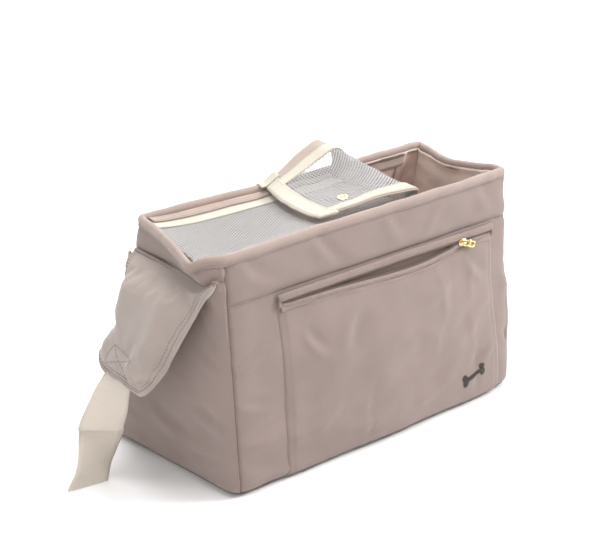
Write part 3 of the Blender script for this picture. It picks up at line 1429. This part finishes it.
def make_flap_end():
    """The wide binding over the flap's free end, with its corner turned over."""
    b = np.linspace(-0.012, 1.02, 70)
    start, end = 0.915, 1.0
    rings = []
    for share in np.linspace(0, 1, 7):
        place, normal = COVER.surface(lerp(start, end, share) + 0 * b, b)
        rings.append(place + normal * 1.5)
    place, normal = COVER.surface(end + 0 * b, b)
    beyond = unit(place - COVER.at(end - 0.02, b))
    rings.append(place + beyond * 1.4)
    for share in np.linspace(1, 0, 7):
        place, normal = COVER.surface(lerp(start, end, share) + 0 * b, b)
        rings.append(place - normal * 1.5)
    points = np.array(rings).transpose(1, 0, 2)
    binding = add_piece(
        "flap_end_tape", points.reshape(-1, 3), ring_faces(len(b), len(rings)), CREAM_TAPE, None
    )
    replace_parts(binding, "flap_end_binding")
    a, across = np.meshgrid(np.linspace(0.90, 1.035, 9), np.linspace(0.93, 1.06, 8))
    place, normal = COVER.surface(np.clip(a, 0, 1), np.clip(across, 0, 1))
    past_end = (a - np.clip(a, 0, 1))[..., None]
    past_side = (across - np.clip(across, 0, 1))[..., None]
    place = place + past_end * (-210, 0, 4) + past_side * (0, 120, -60)
    curl = 2.6 * bump(across, 1.0, 0.03)
    tab = slab(
        "flap_corner_tab", place + normal * (3.0 + curl)[..., None], place + normal * (1.9 + curl)[..., None],
        CREAM_TAPE, None,
    )
    b = np.linspace(0.01, 0.99, 120)
    lines = [COVER.surface(a + 0 * b, b) for a in (0.922, 0.992)]
    return [binding, tab, stitches("flap_end_stitching", lines, THREAD_CREAM, None, lift=1.75)]


def turned_profile(name, section, place, material, body, sides=36):
    """A round piece from its section of (radius, height) points, turned about its own Z."""
    verts = []
    for k in range(sides):
        a = k * TAU / sides
        verts += [place @ Vector((r * math.cos(a), r * math.sin(a), h)) for r, h in section]
    faces = []
    count = len(section)
    for k in range(sides):
        m = (k + 1) % sides
        for j in range(count - 1):
            faces.append((k * count + j, m * count + j, m * count + j + 1, k * count + j + 1))
    verts = [tuple(v) for v in verts]
    faces.append(tuple(k * count for k in range(sides)))
    faces.append(tuple(k * count + count - 1 for k in range(sides))[::-1])
    return add_piece(name, verts, faces, material, body)


SNAP_SECTION = (
    (0.2, 0.0), (5.6, 0.0), (6.2, 0.3), (6.2, 0.9), (5.6, 1.3), (4.4, 1.5),
    (3.6, 1.0), (2.6, 0.9), (2.0, 1.9), (1.0, 2.3), (0.2, 2.35),
)


def make_snap():
    """The snap's two halves: one on the flap, one on the sewn-in net below it."""
    place, normal = COVER.surface(np.array([SNAP_A]), np.array([SNAP_B]))
    lie = Vector(normal[0]).to_track_quat("Z", "Y").to_matrix().to_4x4()
    on_flap = Matrix.Translation(Vector(place[0]) + Vector(normal[0]) * 0.3) @ lie
    made = turned_profile("snap_upper", SNAP_SECTION, on_flap, BRASS, "cover_flap")
    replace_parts(made, "snap_stud")
    low, high = box_mm("snap_socket")
    x, y = (low[0] + high[0]) / 2, (low[1] + high[1]) / 2
    on_net = Matrix.Translation((x, y, float(cover_height(x, y)) + 0.3))
    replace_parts(turned_profile("snap_lower", SNAP_SECTION, on_net, BRASS, "shell"), "snap_socket")


make_fixed_cover()
make_loose_cover()
make_snap()


# ---------------------------------------------------------------- padding

PAD_THICK = 11.0


class PadShape:
    """The cut of one strap half: half widths at its seam and end, its length, its corners and its lean."""

    def __init__(self, top, end, length, corner, lean, rise, box):
        self.top, self.end, self.length, self.corner = top, end, length, corner
        self.lean, self.rise, self.box = math.radians(lean), rise, np.array(box, float)


# rise is how far the front end of the seam stands above its middle. box has the corners of the cross
# stitching, across and down.
PAD_SHAPES = {
    "left": PadShape(76.0, 54.0, 128.0, 24.0, 24, 10.0, ((26, 93), (-12, 98), (1, 121), (42, 117))),
    "right": PadShape(71.0, 48.0, 112.0, 24.0, 10, 0.0, ((-15, 77), (15, 77), (15, 106), (-15, 106))),
}


def pulled(side, w, d):
    """Where a pad's cloth ends up across its width: the left pad narrows in front and swells behind."""
    if side == "right":
        return w
    front = 1 + 0.07 * smooth(d, 30, 0) - 0.19 * smooth(d, 15, 85) - 0.20 * smooth(d, 88, 126)
    rear = 1 - 0.06 * smooth(d, 2, 24) - 0.05 * bump(d, 80, 9) + 0.30 * smooth(d, 86, 122)
    return w * lerp(front, rear, smooth(w, -14, 14))


def stuffed(name, node, cell, pressure, reach, held, material):
    """A padded piece: the node's solid as a skin of cloth, blown up while its seams are held.

    held gives, for places in millimetres, how firmly each is sewn, from 0 to 1.
    reach is the most that a place moves, in millimetres.
    """
    source = frame["nodes"][node]
    piece = bpy.data.objects.new(name, source.data.copy())
    bpy.context.collection.objects.link(piece)
    piece.matrix_world = source.matrix_world
    grid = piece.modifiers.new("grid", "REMESH")
    grid.mode = "VOXEL"
    grid.voxel_size = cell * MM
    bpy.context.view_layer.update()
    apply_modifiers(piece)
    start = mesh_points(piece)
    firm = np.clip(held(start / MM), 0, 1)
    group = piece.vertex_groups.new(name="sewn")
    for index, weight in enumerate(firm):
        group.add([index], float(weight), "REPLACE")
    cloth_skin = piece.modifiers.new("skin", "CLOTH")
    settings = cloth_skin.settings
    settings.quality = 6
    settings.mass = 0.3
    settings.tension_stiffness = 18
    settings.compression_stiffness = 18
    settings.bending_stiffness = 0.4
    settings.use_pressure = True
    settings.uniform_pressure_force = pressure
    settings.shrink_min = -0.05
    settings.vertex_group_mass = "sewn"
    settings.effector_weights.gravity = 0
    cloth_skin.point_cache.frame_start = 1
    cloth_skin.point_cache.frame_end = 20
    for number in range(1, 21):
        bpy.context.scene.frame_set(number)
        bpy.context.view_layer.update()
    apply_modifiers(piece)
    bpy.context.scene.frame_set(1)
    moved = mesh_points(piece) - start
    far = np.linalg.norm(moved, axis=1, keepdims=True)
    set_points(piece, start + moved * np.minimum(1, reach * MM / np.maximum(far, 1e-9)))
    finer = piece.modifiers.new("finer", "SUBSURF")
    finer.levels = finer.render_levels = 1
    apply_modifiers(piece)
    for polygon in piece.data.polygons:
        polygon.use_smooth = True
    piece.data.materials.clear()
    piece.data.materials.append(material)
    return piece


def apply_modifiers(piece):
    view = bpy.context.evaluated_depsgraph_get()
    done = bpy.data.meshes.new_from_object(piece.evaluated_get(view), depsgraph=view)
    piece.modifiers.clear()
    piece.data = done


def mesh_points(piece):
    found = np.empty(len(piece.data.vertices) * 3)
    piece.data.vertices.foreach_get("co", found)
    return found.reshape(-1, 3)


def set_points(piece, points):
    piece.data.vertices.foreach_set("co", np.asarray(points, float).ravel())
    piece.data.update()


class StrapFrame:
    """A strap half's own frame: across (w), down from the hinge line (d), and out from its back (h)."""

    def __init__(self, side):
        hinge = joint(side + "_strap_lift")
        self.pivot = np.array(hinge["pos_m"]) / MM
        self.across = unit(np.array(hinge["axis"], float))
        outward = np.array([-self.across[1], self.across[0], 0.0])
        self.cut = PAD_SHAPES[side]
        lean = self.cut.lean
        self.down = outward * math.sin(lean) - np.array([0, 0, 1.0]) * math.cos(lean)
        self.out = outward * math.cos(lean) + np.array([0, 0, 1.0]) * math.sin(lean)

    def local(self, places):
        from_pivot = places - self.pivot
        return from_pivot @ self.across, from_pivot @ self.down, from_pivot @ self.out

    def world(self, w, d, h):
        w, d, h = np.broadcast_arrays(np.asarray(w, float), np.asarray(d, float), np.asarray(h, float))
        return self.pivot + w[..., None] * self.across + d[..., None] * self.down + h[..., None] * self.out


def pad_edge(cut, w, d):
    """The distance in from a strap pad's outline, which is rounded at its lower corners."""
    slant = math.atan2(cut.top - cut.end, cut.length)
    side = (lerp(cut.top, cut.end, d / cut.length) - np.abs(w)) * math.cos(slant)
    foot = cut.length - d
    near = np.minimum(side, foot)
    corner = (side < cut.corner) & (foot < cut.corner)
    round_off = cut.corner - np.hypot(cut.corner - side, cut.corner - foot)
    return np.where(corner, round_off, near)


def on_skin(piece, place, starts):
    """The places and normals on a pad's outer face straight below some places over it."""
    tree = BVHTree.FromObject(piece, bpy.context.evaluated_depsgraph_get())
    found, normals = [], []
    for start in starts * MM:
        hit, normal, _, _ = tree.ray_cast(Vector(start), Vector(-place.out))
        if hit is not None:
            found.append(np.array(hit) / MM)
            normals.append(np.array(normal))
    return np.array(found), np.array(normals)


def pad_outline(cut, inset, count=190):
    """The (w, d) of a line inside a strap pad's outline, from its front top corner round to the rear one."""
    slant = math.atan2(cut.top - cut.end, cut.length)
    turn = cut.corner - inset
    centre_d = cut.length - cut.corner
    centre_w = lerp(cut.top, cut.end, centre_d / cut.length) - cut.corner / math.cos(slant)
    half = []
    for d in np.linspace(4, centre_d - 2, 12):
        half.append((lerp(cut.top, cut.end, d / cut.length) - inset / math.cos(slant), d))
    for a in np.linspace(0.05, TAU / 4, 8):
        half.append((centre_w + turn * math.cos(a), centre_d + turn * math.sin(a)))
    half = np.array(half)
    return resample(np.vstack([half * (-1, 1), half[::-1]]), count)


def make_strap_pad(side):
    """One padded half of the strap: blown up inside its seams, with a flat sewn edge and topstitching."""
    place = StrapFrame(side)
    cut = place.cut
    box_w, box_d = cut.box.mean(axis=0)

    def held(places):
        w, d, h = place.local(places)
        edge = pad_edge(cut, w, d)
        rim = smooth(edge, 4.0, 1.0) * smooth(np.abs(h - PAD_THICK / 2), 5.4, 3.0)
        return np.maximum(rim, smooth(d, 8, 3))

    piece = stuffed(
        side + "_strap_padding", side + "_strap_pad", 4.0, 7.0, 9.0, held, STRAP_CLOTH
    )
    w, d, h = place.local(mesh_points(piece) / MM)
    spans = np.linspace(-cut.top, cut.top, 60)
    tops = [np.min(d[np.abs(w - at) < 3], initial=8) for at in spans]
    d = d - np.interp(w, spans, tops) * smooth(d, 16, 5)
    edge = pad_edge(cut, w, d)
    flat = np.stack([w, d, 0 * w], -1)
    seed = 201 if side == "left" else 202
    puff = 4.0 * smooth(edge, 3, 34) * smooth(d, 4, 40) * (1 - 0.7 * smooth(d, 60, 100))
    middle = PAD_THICK * 0.42
    above = h - middle
    pucker = 1.1 * noise(flat * (0.35, 1, 1), 6, seed) * np.exp(-(((edge - 8) / 5) ** 2))
    broad = 1.4 * noise(flat, 40, seed + 10) + 0.5 * noise(flat, 17, seed + 20)
    broad += 3.0 * np.exp(-np.hypot((w - cut.end) / 13, (d - 0.78 * cut.length) / 13) ** 2)
    from_dimple = np.hypot((w - cut.end * 0.95) / 15, (d - 76) / 8)
    dimple = 3.2 * np.exp(-(from_dimple**2))
    from_box = np.maximum(np.abs(w - box_w), np.abs(d - box_d))
    box_dip = 2.6 * smooth(from_box, 30, 13) * smooth(edge, 2, 9)
    spokes = np.arctan2(d - box_d, w - box_w)
    radiating = 0.6 * np.sin(6 * spokes + 1.0) * smooth(from_box, 14, 22) * smooth(from_box, 46, 26)
    front = smooth(above, -1.0, 3.0)
    shape = puff + (broad * smooth(edge, 0, 12) + pucker + radiating) * smooth(d, 2, 14) - dimple - box_dip
    above = above * lerp(0.34, 1.0, smooth(edge, 2.0, 12.0)) + front * shape
    facing = np.empty(len(piece.data.vertices) * 3)
    piece.data.vertices.foreach_get("normal", facing)
    facing = smooth(facing.reshape(-1, 3) @ place.out, -0.8, 0.8)
    wedge = facing * lerp(1.5, PAD_THICK + 1.5, smooth(d, -3, 24)) - middle
    above = lerp(wedge, above, smooth(d, 6, 26))
    lip = 1.1 * np.exp(-(((edge - 1.2) / 1.6) ** 2)) * np.sign(above)

    def laid(w, d, h):
        """Where a place in the pad's flat cut ends up."""
        points = place.world(pulled(side, w, d), d, h - 1.2 * (w / cut.top) ** 2 * smooth(d, 10, 70))
        points[..., 2] -= cut.rise * np.where(w < 0, 0.9, 0.2) * w / cut.top * smooth(d, 90, 0)
        return points

    set_points(piece, laid(w, d, middle + above + lip) * MM)
    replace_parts(piece, side + "_strap_pad")

    start, end = place.world(0, 1.0, 2.0) * MM, place.world(0, 26.0, 2.0) * MM
    made = [piece]
    edge_line = pad_outline(cut, 0.6, 150)
    edge_line = laid(edge_line[:, 0], edge_line[:, 1], middle)
    piping = tube(side + "_pad_piping", edge_line, 1.6, place.out, STRAP_CLOTH, None, sides=8)
    made.append(piping)
    w = np.linspace(-cut.top - 1, cut.top - 7, 70)
    seam = laid(w, 0.3 + 0 * w, 2.4)
    roll = tube(side + "_pad_seam_roll", seam, 1.7, place.out, SHELL_CLOTH, None, sides=8)
    made.append(roll)
    for index, inset in enumerate((4.6, 8.2)):
        line = pad_outline(cut, inset)
        skin = on_skin(piece, place, laid(line[:, 0], line[:, 1], 60.0))
        name = "%s_pad_stitching_%d" % (side, index)
        made.append(stitches(name, [skin], THREAD_SEAM, None))
    lines = []
    for order in ([0, 1, 2, 3, 0], [0, 2], [1, 3]):
        line = resample(cut.box[order], 60)
        lines.append(on_skin(piece, place, place.world(line[:, 0], line[:, 1], 60.0)))
    made.append(stitches(side + "_pad_cross_stitching", lines, THREAD_SEAM, None))
    for part in made:
        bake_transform(part)


def ribbon(name, path, widths, width, thick, material, body, seed=1, columns=9):
    """A length of webbing: widths gives the direction across it at each point of its path."""
    path, widths = np.asarray(path, float), unit(np.asarray(widths, float))
    along = unit(np.gradient(path, axis=0))
    normal = unit(np.cross(widths, along))
    share = np.linspace(-1, 1, columns)
    far = np.concatenate([[0], np.cumsum(np.linalg.norm(np.diff(path, axis=0), axis=1))])
    across = path[:, None, :] + widths[:, None, :] * (share * width / 2)[None, :, None]
    grid_far, grid_share = far[:, None] + 0 * share, share[None, :] + 0 * far[:, None]
    flat = np.stack([grid_far, grid_share * width / 2, 0 * grid_far], -1)
    wave = 0.6 * noise(flat, 24, seed) + 0.25 * noise(flat, 8, seed + 1)
    across = across + normal[:, None, :] * (wave + 0.5 * share**2)[..., None]
    edge = 1 - 0.45 * np.abs(share) ** 8
    half = normal[:, None, :] * (thick / 2 * edge)[None, :, None]
    return slab(name, across + half, across - half, material, body)


def make_left_webbing():
    """The long webbing of the left half: it bows out, kinks back on itself and stands on the floor."""
    base = np.array(joint("left_webbing_swing")["pos_m"]) / MM
    bends = (
        (4, -1, 7), (-1, 0, 0), (-7, 0, -10), (-14, -0.5, -24), (-20.5, -0.5, -37), (-22.5, 0.5, -44),
        (-21.3, 3, -47.6), (-18.6, 6, -47.6), (-17.6, 7, -53), (-24, 6, -76), (-40, 3, -104.2),
    )
    path = resample(curve_through(base + np.array(bends, float), 14), 130)
    share = np.linspace(0, 1, len(path))
    turn_places = (0.0, 0.15, 0.42, 0.54, 0.7, 0.85, 1.0)
    turn = np.radians(np.interp(share, turn_places, (-97, -84, -50, -36, -8, 2, -10)))
    turn = np.convolve(np.pad(turn, 6, "edge"), np.ones(13) / 13, "valid")
    widths = np.stack([np.cos(turn), np.sin(turn), 0 * turn], -1)
    made = ribbon("left_webbing_strap", path, widths, 45, 1.7, WEBBING, None, 211)
    resting = mesh_points(made)
    resting[:, 2] = np.maximum(resting[:, 2], 0.6 * MM)
    set_points(made, resting)
    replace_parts(made, "left_webbing")
    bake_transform(made)


def make_right_webbing():
    """The short webbing of the right half, sewn back to itself round the buckle's bar, and the buckle."""
    place = StrapFrame("right")
    base = np.array(joint("right_webbing_swing")["pos_m"]) / MM
    outward = np.array([-place.across[1], place.across[0], 0.0])
    bar = np.array(joint("buckle_swing")["pos_m"]) / MM - base
    drop, reach = -bar[2], float(bar @ outward)
    section = [(0, 4), (0, -10), (0.4, -30), (0, -drop)]
    for a in np.radians((45, 90, 135, 180)):
        section.append((reach * (1 - math.cos(a)), -drop - reach * math.sin(a)))
    section += [(reach * 1.9, -drop + 5), (2.6, -drop + 17), (1.9, -drop + 26), (2.0, -drop + 41)]
    path = np.array([base + outward * x + np.array([0, 0, z]) for x, z in section])
    path = resample(curve_through(path, 10), 100)
    widths = np.tile(place.across, (len(path), 1))
    made = ribbon("right_webbing_strap", path, widths, 45, 1.7, WEBBING, None, 221)
    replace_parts(made, "right_webbing")
    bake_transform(made)
    lines = []
    for height in (-drop + 20, -drop + 37):
        w = np.linspace(-20, 20, 30)
        row = base + outward * 3.0 + np.array([0, 0, height]) + w[:, None] * place.across
        lines.append((row, np.tile(outward, (30, 1))))
    sewn = stitches("right_webbing_stitching", lines, THREAD_CREAM, None, lift=0.1)
    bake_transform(sewn)
    make_buckle(base + bar, place.across, outward)


def make_buckle(bar, across, outward):
    """The ladder-lock buckle: a moulded frame, a ridged middle bar and a thumb tab at its foot."""
    turn = Matrix((across, (0, 0, 1), outward)).transposed().to_4x4()
    local = Matrix.Translation(Vector(bar)) @ turn
    low, high = box_mm("strap_buckle")
    half_width = np.linalg.norm((high - low)[:2]) / 2
    height, window = high[2] - low[2], 48.6
    middle = (0, -height / 2 + 2)
    outline = rounded_box(half_width * 2, height, 3.2, middle)
    hole = rounded_box(window, height - 8, 1.6, middle)
    same = local, BLACK_PLASTIC, "buckle_plastic", "strap_buckle"
    made = prism("buckle_frame", outline, -1.9, 1.9, *same, 0.9, hole)
    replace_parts(made, "strap_buckle")
    ridge = rounded_box(window + 2, 4.4, 0.8, (0, -12))
    prism("buckle_middle_bar", ridge, -1.5, 2.3, *same, 0.6)
    for k in range(15):
        place = rounded_box(1.2, 4.0, 0.3, ((k - 7) * 3.1, -12))
        prism("buckle_tooth_%02d" % k, place, 2.2, 2.9, *same, 0.2)
    tab = rounded_box(26, 4.6, 1.6, (0, 1.7 - height))
    prism("buckle_thumb_tab", tab, 0.4, 2.9, *same, 0.7)


def make_floor():
    """The lining's floor, the stiff board and the padded cushion on it."""
    low, high = box_mm("lining_floor")
    x, y = np.meshgrid(np.linspace(low[0] + 1, high[0] - 1, 90), np.linspace(low[1] + 1, high[1] - 1, 50))
    straight_x, straight_y = high[0] - FLOOR_ROUND, high[1] - FLOOR_ROUND
    past_x, past_y = np.maximum(np.abs(x) - straight_x, 0), np.maximum(np.abs(y) - straight_y, 0)
    drawn_in = np.minimum(1, (FLOOR_ROUND - 1) / np.maximum(np.hypot(past_x, past_y), 1))
    x = np.sign(x) * (np.minimum(np.abs(x), straight_x) + past_x * drawn_in)
    y = np.sign(y) * (np.minimum(np.abs(y), straight_y) + past_y * drawn_in)
    wave = 0.15 * noise(np.stack([x, y, 0 * x], -1), 24, 231)
    places = np.stack([x, y, low[2] + 0.25 + wave], -1)
    upper, lower = places + (0, 0, 0.35), places - (0, 0, 0.1)
    made = slab("floor_lining_cloth", upper, lower, LINING_CLOTH)
    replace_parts(made, "lining_floor")
    paint_node("base_board", BOARD)
    soften("base_board", 0.8)

    low, high = box_mm("base_cushion")
    half = (high - low) / 2
    centre = (high + low) / 2

    def held(places):
        side = np.minimum(half[0] - np.abs(places[:, 0]), half[1] - np.abs(places[:, 1]))
        from_middle = np.abs(places[:, 2] - centre[2])
        underside = smooth(places[:, 2], low[2] + 3, low[2] + 1)
        return smooth(side, 7.0, 3.0) * smooth(from_middle, 4, 8) + underside

    piece = stuffed("cushion_padding", "base_cushion", 6.0, 4.0, 7.0, held, CUSHION_CLOTH)
    points = mesh_points(piece) / MM
    upper = smooth(points[:, 2], centre[2], high[2])
    side = np.minimum(half[0] - np.abs(points[:, 0]), half[1] - np.abs(points[:, 1]))
    flat = points * (1, 1, 0)
    points[:, 2] += upper * (1.4 * noise(flat, 55, 241) + 0.6 * noise(flat, 20, 242)) * smooth(side, 2, 18)
    set_points(piece, points * MM)
    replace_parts(piece, "base_cushion")
    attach(piece, "shell")
    corners = []
    for sx, sy, start in ((1, 1, 0), (-1, 1, 1), (-1, -1, 2), (1, -1, 3)):
        for a in np.linspace(start * TAU / 4, (start + 1) * TAU / 4, 7):
            x = sx * (half[0] - 21) + 20.2 * math.cos(a)
            y = sy * (half[1] - 21) + 20.2 * math.sin(a)
            corners.append((centre[0] + x, centre[1] + y, high[2] - 6.5))
    corners.append(corners[0])
    path = resample(np.array(corners), 300)[:-1]
    tube("cushion_piping", path, 1.7, (0, 0, 1), SHELL_CLOTH, sides=8, closed=True)


make_floor()
make_strap_pad("left")
make_strap_pad("right")
make_left_webbing()
make_right_webbing()


# ---------------------------------------------------------------- camera, floor and light


def make_studio():
    """A pale floor, soft light and the camera."""
    floor = bpy.data.meshes.new("floor")
    far = 6.0
    floor.from_pydata([(-far, -far, 0), (far, -far, 0), (far, far, 0), (-far, far, 0)], [], [(0, 1, 2, 3)])
    ground = bpy.data.objects.new("floor", floor)
    bpy.context.collection.objects.link(ground)
    pale = bpy.data.materials.new("floor_pale")
    pale.use_nodes = True
    pale.node_tree.nodes["Principled BSDF"].inputs["Base Color"].default_value = (0.9, 0.9, 0.9, 1)
    pale.node_tree.nodes["Principled BSDF"].inputs["Roughness"].default_value = 0.9
    floor.materials.append(pale)

    world = bpy.data.worlds.new("studio")
    world.use_nodes = True
    world.node_tree.nodes["Background"].inputs["Color"].default_value = (1.0, 0.995, 0.99, 1)
    world.node_tree.nodes["Background"].inputs["Strength"].default_value = 0.5
    bpy.context.scene.world = world

    target = Vector((0, 0, 0.12))
    for name, place, power, size in (
        ("key", (1.25, -0.95, 1.3), 31, 0.6),
        ("top", (-0.2, -0.1, 2.2), 32, 1.2),
        ("fill", (-1.8, -0.8, 1.0), 10, 1.5),
        ("backdrop", (2.2, 3.4, 2.8), 190, 3.0),
    ):
        lamp = bpy.data.lights.new(name, "AREA")
        lamp.energy = power
        lamp.size = size
        light = bpy.data.objects.new(name, lamp)
        light.location = place
        aim = Vector((1.8, 2.6, 0)) if name == "backdrop" else target
        light.rotation_euler = (aim - Vector(place)).to_track_quat("-Z", "Y").to_euler()
        bpy.context.collection.objects.link(light)

    yaw, pitch, distance = math.radians(42.7), math.radians(22.1), 1.911
    aim = Vector((0, 0, 0.1275))
    forward = Vector((math.sin(yaw) * math.cos(pitch), math.cos(yaw) * math.cos(pitch), -math.sin(pitch)))
    lens = bpy.data.cameras.new("camera")
    lens.lens = 104.6
    lens.sensor_width = 36
    lens.shift_x, lens.shift_y = -0.0155, 0.0401
    camera = bpy.data.objects.new("camera", lens)
    camera.location = aim - forward * distance
    camera.rotation_euler = forward.to_track_quat("-Z", "Y").to_euler()
    bpy.context.collection.objects.link(camera)
    bpy.context.scene.camera = camera
    bpy.context.scene.view_settings.view_transform = "Standard"


make_studio()
